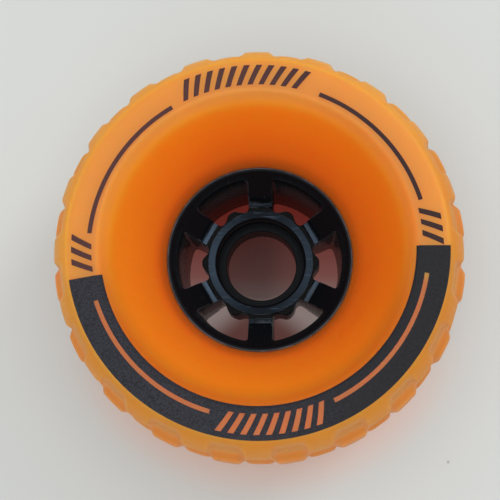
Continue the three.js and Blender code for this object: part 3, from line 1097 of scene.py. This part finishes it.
def bowl_colour(tree, x, y, z, radius):
    """Painted light and shade: a ramp up the bowl, warmer left, dimmer right and deeper at the bottom.
    """
    rise = fade(tree, z, (CORE_FRONT, FRONT_LIP))
    hue = ramp_colour(tree, rise, BOWL_SHADING_HUES)
    # Painted light towards the lower left of the bowl, clear of the core.
    lit_side = fade(tree, math_node(tree, "ADD", x, y), LIT_SIDE_SPAN)
    lit_side = multiply(tree, lit_side, range_node(tree, rise, 0.0, OFF_CORE))
    hue = tint(tree, hue, lit_side, (228, 143, 24), share=0.35)
    # Painted shade on the right side of the bowl.
    hue = tint(tree, hue, fade(tree, x, SHADED_SIDE_SPAN), (226, 104, 12), share=0.42)
    # Painted shade on the bottom side, under the lip.
    shaded_low_side = multiply(tree, fade(tree, y, SHADED_LOW_SPAN), fade(tree, z, UNDER_LIP))
    hue = tint(tree, hue, shaded_low_side, (205, 92, 10))
    # Painted shade: the lip's hue is darker at its inner edge by the roll.
    across_lip = fade(tree, radius, (LIP_ROLL, LIP_EDGE))
    lip_hue = mix_colour(tree, across_lip, srgb(204, 130, 56), srgb(213, 145, 60))
    return mix_colour(tree, fade(tree, radius, ROLL_END_SPAN), hue, lip_hue)


print("bowl ramp:", len(BOWL_SHADING_HUES), "stops from the core to the lip")

# %% Hue of the tread and of the skin beside the ink, with painted light and shade
FLANK_TOP = FRONT_LIP - first_row[0] + ROW_FLANK
FLANK_TOP_SPAN = (FLANK_TOP + 0.5, FLANK_TOP - 0.5)
UPPER_SPAN = (25, -5)
SHADED_SPAN = (5, -25)
SHADED_RIGHT_SPAN = (28, 50)
BAND_START_SPAN = (BAND_INNER + 0.6, BAND_INNER + 1.2)
BAND_END_SPAN = (BAND_OUTER - 0.3, BAND_OUTER - 0.9)
BAND_SIDE_SPAN = (-6, -9)
LIP_TOP_SPAN = (FRONT_LIP - 0.7, FRONT_LIP - 0.3)


def tread_colour(tree, x, y, z):
    """Painted light and shade: ochre lobes over redder middle rows, darker to the bottom and right."""
    # Painted shade: the middle rows are redder, more so towards the bottom.
    middle_rows = multiply(tree, fade(tree, z, FLANK_TOP_SPAN), fade(tree, y, UPPER_SPAN, start=0.15))
    hue = mix_colour(tree, middle_rows, srgb(222, 148, 36), srgb(234, 132, 48))
    # Painted shade towards the bottom and towards the right.
    hue = tint(tree, hue, fade(tree, y, SHADED_SPAN), (206, 122, 14), share=0.6)
    return tint(tree, hue, fade(tree, x, SHADED_RIGHT_SPAN), (200, 112, 10), share=0.6)


def ink_edge_shade(tree, y, z, radius):
    """Painted shade, high where the bare lip shows between the band's dark shapes, in the lower half.
    """
    in_band = multiply(tree, fade(tree, radius, BAND_START_SPAN), fade(tree, radius, BAND_END_SPAN))
    return multiply(tree, in_band, fade(tree, y, BAND_SIDE_SPAN), fade(tree, z, LIP_TOP_SPAN))


print("the middle rows start", round(FLANK_TOP, 2), "mm over the middle of the wheel")

# %% Urethane material
OUTSIDE_SPAN = (LIP_EDGE - 0.8, LIP_EDGE + 1.2)
RELIEF_TOP, RELIEF_FLANK = 0.95, 0.45


def urethane_material():
    material, tree, shader = new_material("cast_urethane")
    x, y, z = object_axes(tree)
    radius = flat_distance(tree, x, y)
    outside = fade(tree, radius, OUTSIDE_SPAN)
    hue = mix_colour(tree, outside, bowl_colour(tree, x, y, z, radius), tread_colour(tree, x, y, z))
    # Painted shade: the knob flanks are tinted redder than the tops.
    flank_shade = range_node(tree, surface_value(tree, "relief"), RELIEF_TOP, RELIEF_FLANK)
    hue = tint(tree, hue, flank_shade, (212, 124, 36), share=0.3)
    # Painted highlight: paler lines along the knob edges.
    hue = tint(tree, hue, surface_value(tree, "crest_highlight"), (255, 164, 40), share=0.26)
    hue = tint(tree, hue, effect(tree, "cloud", Scale=45, Contrast=0.9), (212, 126, 32), share=0.14)
    # Painted shade: the bare lip between the ink shapes turns darker and redder.
    hue = tint(tree, hue, ink_edge_shade(tree, y, z, radius), (206, 92, 54), share=0.75)
    specks = effect(tree, "dust", Scale=260, Size=0.06, Amount=0.035)
    hue = tint(tree, hue, specks, (95, 60, 35), share=0.75)
    grain = noise_node(tree, object_place(tree), scale=900, detail=3, roughness=0.6)
    feed(tree, shader, {
        "Base Color": hue,
        "Roughness": noise_range(tree, grain, 0.40, 0.52),
        "Normal": bump(tree, grain, strength=0.22, distance=0.05),
        "Subsurface Weight": 0.8,
        "Subsurface Radius": (1.0, 0.35, 0.1),
        "Subsurface Scale": 12 * MM,
        "Specular IOR Level": 0.2,
    })
    return material


wear(tyre, urethane_material())
print("tyre wears", tyre.data.materials[0].name)

# %% [markdown]
# ## Black nylon
#
# The core is near black with a smooth moulded skin. The hub ring and the bars across the
# spoke roots have been rubbed by washers and a socket, so they are satin and carry fine
# scuffs, with a painted sheen that glints towards the left and right. The thin edges of the
# windows and bars carry polish and painted highlights here and there. The walls of the
# windows are a little greyer, a painted sheen, and the groove round the hub ring is black,
# painted shade. The masks for the rubbed faces, the edges and the walls are the values
# stored on the mesh above.

# %% Nylon material
GLINT_SPAN = (-12, 12)
BAR_SPAN = (HUB_RADIUS, HUB_RADIUS + 0.4)
GROOVE_SHADE_SPAN = (0.35, 0.2)
SEAM_SPAN = (0.5, 0.25)
RIM_HIGHLIGHT_SPAN = (CORE_RADIUS - 0.5, CORE_RADIUS - 0.2)
PATCH_LOW, PATCH_HIGH = 0.42, 0.62
WORN_ROUGHNESS = 0.22


def rubbed_sheen_colour(tree, x, y, radius, scuffs):
    """Satin blue-black with a painted sheen that glints to the left and right, most on the bars."""
    bearing = math_node(tree, "ARCTAN2", y, x)
    sideways = math_node(tree, "ABSOLUTE", math_node(tree, "COSINE", bearing))
    strength = fade(tree, x, GLINT_SPAN, start=0.58, end=0.42)
    glint = multiply(tree, math_node(tree, "POWER", sideways, 2), strength)
    hue = mix_colour(tree, glint, srgb(13, 21, 29), srgb(55, 73, 90))
    hue = tint(tree, hue, scuffs, (66, 84, 101), share=0.6)
    return tint(tree, hue, multiply(tree, fade(tree, radius, BAR_SPAN), glint), (80, 101, 121))


def nylon_material():
    material, tree, shader = new_material("black_nylon")
    x, y, z = object_axes(tree)
    radius = flat_distance(tree, x, y)
    rubbed = surface_value(tree, "rubbed")
    scuffs = effect(tree, "scuff", Scale=170, Stretch=16, Amount=0.75)
    hue = mix_colour(tree, rubbed, srgb(9, 13, 17), rubbed_sheen_colour(tree, x, y, radius, scuffs))
    # Painted shade: the groove round the hub ring is black.
    groove_shade = fade(tree, gap_to(tree, z, CORE_MIDDLE + GROOVE_FLOOR), GROOVE_SHADE_SPAN)
    hue = tint(tree, hue, groove_shade, (1, 1, 1))
    # Painted sheen: the window walls are greyer for their grazing reflection.
    hue = tint(tree, hue, surface_value(tree, "window_wall"), (36, 50, 54))
    patches = noise_node(tree, object_place(tree), scale=260, detail=2)
    patches = range_node(tree, patches, PATCH_LOW, PATCH_HIGH)
    # Polish and painted highlights on the thin edges, in patches.
    polish_highlight = multiply(tree, surface_value(tree, "polish_and_highlight"), patches)
    hue = tint(tree, hue, polish_highlight, (66, 74, 82), share=0.8)
    # Painted highlight: a broken pale line round the rim's outer edge.
    uneven = range_node(tree, patches, 0.0, 1.0, to_low=0.5, to_high=0.8)
    rim_highlight = multiply(tree, fade(tree, radius, RIM_HIGHLIGHT_SPAN), uneven)
    hue = tint(tree, hue, rim_highlight, (92, 90, 94))
    hue = tint(tree, hue, fade(tree, gap_to(tree, z, CORE_MIDDLE), SEAM_SPAN), (1, 1, 1))
    dust = effect(tree, "dust", Scale=900, Size=0.10, Amount=0.05)
    hue = tint(tree, hue, dust, (120, 116, 110), share=0.5)
    grain = noise_node(tree, object_place(tree), scale=1400, detail=2)
    worn = multiply(tree, rubbed, WORN_ROUGHNESS)
    height = math_node(tree, "ADD", grain, multiply(tree, scuffs, rubbed))
    feed(tree, shader, {
        "Base Color": hue,
        "Roughness": math_node(tree, "ADD", noise_range(tree, grain, 0.20, 0.30), worn),
        "Normal": bump(tree, height, strength=0.15, distance=0.03),
        "Specular IOR Level": 0.045,
    })
    return material


wear(core, nylon_material())
print("core wears", core.data.materials[0].name)

# %% Ink material
INK_SHADE_SPAN = (-4, 30)
MOTTLE_LOW, MOTTLE_HIGH = 0.35, 0.65


def ink_material(name, thinness):
    """Ink whose black lets the orange show a little where the print is thin, painted darker to the
    right.
    """
    material, tree, shader = new_material(name)
    mottle = noise_node(tree, object_place(tree), scale=3000, detail=2, roughness=0.6)
    pale = range_node(tree, mottle, MOTTLE_LOW, MOTTLE_HIGH)
    hue = mix_colour(tree, pale, srgb(14, 16, 21), srgb(42, 45, 54))
    hue = tint(tree, hue, effect(tree, "cloud", Scale=80, Contrast=1.0), (52, 34, 34), share=0.2)
    hue = mix_colour(tree, thinness, hue, srgb(88, 46, 38))
    # Painted shade: the ink darkens towards the right.
    hue = tint(tree, hue, fade(tree, object_axes(tree)[0], INK_SHADE_SPAN), (9, 9, 10), share=0.55)
    feed(tree, shader, {
        "Base Color": hue,
        "Roughness": noise_range(tree, mottle, 0.42, 0.55),
        "Normal": bump(tree, mottle, strength=0.2, distance=0.02),
        "Specular IOR Level": 0.15,
    })
    return material


ink = ink_material("lip_ink", thinness=0.0)
thin_ink = ink_material("lip_ink_thin", thinness=0.55)
for piece in ink_pieces:
    wear(piece, ink if piece.name == "lip_band" else thin_ink)
print("ink on", [piece.name for piece in ink_pieces])

# %% [markdown]
# ## Table, lamps and camera
#
# The wheel lies on a pale table under a wide ceiling lamp, with a key lamp on the right and a
# fill lamp in front. Light that has passed through the urethane reddens the table inside and
# close round the wheel, and the table's own material shows that, since it isn't part of the
# object.

# %% Table
TABLE_SIZE = 12.0
BOUNCE_SPAN = (64, 50)
FRONT_SIDE_SPAN = (-10, -45)
COVERED_SPAN = (30, 24)
SOUTH_SPAN = (20, -20)
SPOKE_SHADOW_X = -1.5
SPOKE_SHADOW_SLOPE = 1.2
SPOKE_SHADOW_SPAN = (0, -13)
SPOKE_SHADOW_START = (-7, -11)
BORE_VIEW = (-1.0, 4.5)
BORE_EDGE_SPAN = (10.5, 12)
BORE_RIM_SPAN = (3, 9)
BORE_SIDE_SPAN = (-1, 8)
GLOW_HUES = [(0.0, (92, 30, 24)), (0.5, (114, 72, 68)), (0.85, (130, 116, 113))]


def table_colour(tree, y, radius):
    """Pale and cloudy, painted warmer close in front of the wheel and painted black as shade under its
    core.
    """
    cloud = effect(tree, "cloud", Scale=9, Contrast=0.7)
    hue = mix_colour(tree, cloud, srgb(192, 195, 194), srgb(201, 204, 202))
    specks = effect(tree, "dust", Scale=120, Size=0.07, Amount=0.12)
    hue = tint(tree, hue, specks, (120, 118, 114), share=0.5)
    # Painted light bounced off the orange tyre, close in front of the wheel.
    bounce_tint = multiply(tree, fade(tree, radius, BOUNCE_SPAN), fade(tree, y, FRONT_SIDE_SPAN))
    hue = tint(tree, hue, bounce_tint, (216, 190, 180), share=0.8)
    # Painted shade: black under the core, where the wheel covers the table.
    return tint(tree, hue, fade(tree, radius, COVERED_SPAN), (4, 3, 3), share=0.95)


def table_glow(tree, x, y, radius):
    """Light from the urethane on the table, seen through the windows and dimmer in the bore."""
    hue = ramp_colour(tree, fade(tree, y, SOUTH_SPAN), GLOW_HUES)
    slope = math_node(tree, "MULTIPLY", y, SPOKE_SHADOW_SLOPE)
    past_spoke = math_node(tree, "ADD", gap_to(tree, x, SPOKE_SHADOW_X), slope)
    near_spoke = fade(tree, past_spoke, SPOKE_SHADOW_SPAN)
    hue = tint(tree, hue, multiply(tree, near_spoke, fade(tree, y, SPOKE_SHADOW_START)), (86, 54, 50))
    from_middle = flat_distance(tree, x, y, BORE_VIEW)
    to_rim = fade(tree, from_middle, BORE_RIM_SPAN, end=0.06)
    in_bore = math_node(tree, "ADD", fade(tree, x, BORE_SIDE_SPAN, start=0.33, end=0.5), to_rim)
    inside = fade(tree, from_middle, BORE_EDGE_SPAN, start=in_bore)
    spread = multiply(tree, inside, fade(tree, radius, COVERED_SPAN))
    return mix_colour(tree, spread, srgb(0, 0, 0), hue)


def table_material():
    material, tree, shader = new_material("pale_table")
    x, y, _ = object_axes(tree)
    radius = flat_distance(tree, x, y)
    feed(tree, shader, {
        "Base Color": table_colour(tree, y, radius),
        "Emission Color": table_glow(tree, x, y, radius),
        "Emission Strength": 1,
        "Roughness": 0.7,
        "Specular IOR Level": 0.2,
    })
    return material


def make_table():
    half = TABLE_SIZE / 2
    mesh = bpy.data.meshes.new("table")
    corners = [(-half, -half), (half, -half), (half, half), (-half, half)]
    mesh.from_pydata([(x, y, REAR_LIP * MM) for x, y in corners], [], [(0, 1, 2, 3)])
    table = bpy.data.objects.new("table", mesh)
    bpy.context.scene.collection.objects.link(table)
    wear(table, table_material())


make_table()
print("table at", round(REAR_LIP, 2), "mm")

# %% Lamps and world
ROOM_LIGHT = (0.98, 1.0, 1.0, 1.0)
ROOM_STRENGTH = 0.52


def area_lamp(name, place, size, power):
    """A round lamp that faces the wheel, with its place and size in metres."""
    data = bpy.data.lights.new(name, "AREA")
    data.shape = "DISK"
    data.size = size
    data.energy = power
    lamp = bpy.data.objects.new(name, data)
    lamp.location = place
    lamp.rotation_euler = (-Vector(place)).to_track_quat("-Z", "Y").to_euler()
    bpy.context.scene.collection.objects.link(lamp)


def plain_world():
    world = bpy.data.worlds.new("soft_room")
    world.use_nodes = True
    background = world.node_tree.nodes["Background"]
    feed(world.node_tree, background, {"Color": ROOM_LIGHT, "Strength": ROOM_STRENGTH})
    bpy.context.scene.world = world


plain_world()
area_lamp("key", place=(0.75, 0.6, 0.9), size=0.5, power=3.4)
area_lamp("fill", place=(-0.15, -0.6, 1.2), size=0.8, power=3.0)
area_lamp("ceiling", place=(0.02, 0.15, 1.3), size=1.6, power=10.8)

# %% Camera
CAMERA_PLACE = (8.24, -33.46, 275.94)
CAMERA_TARGET = (-1.4, -1.01, 32.5)
LENS = 79.2
SENSOR_WIDTH = 36
NEAREST_VIEW = 0.01


def make_camera():
    """A camera over the wheel, turned so that the picture's top is the wheel's +Y."""
    data = bpy.data.cameras.new("camera")
    data.lens = LENS
    data.sensor_width = SENSOR_WIDTH
    data.clip_start = NEAREST_VIEW
    camera = bpy.data.objects.new("camera", data)
    camera.location = Vector(CAMERA_PLACE) * MM
    back = (Vector(CAMERA_PLACE) - Vector(CAMERA_TARGET)).normalized()
    right = Vector((0, 1, 0)).cross(back).normalized()
    turn = Matrix((right, back.cross(right), back)).transposed()
    camera.rotation_euler = turn.to_euler()
    bpy.context.scene.collection.objects.link(camera)
    bpy.context.scene.camera = camera


make_camera()
bpy.context.scene.view_settings.view_transform = "Standard"
print("camera", CAMERA_PLACE, "mm, lens", LENS, "mm")
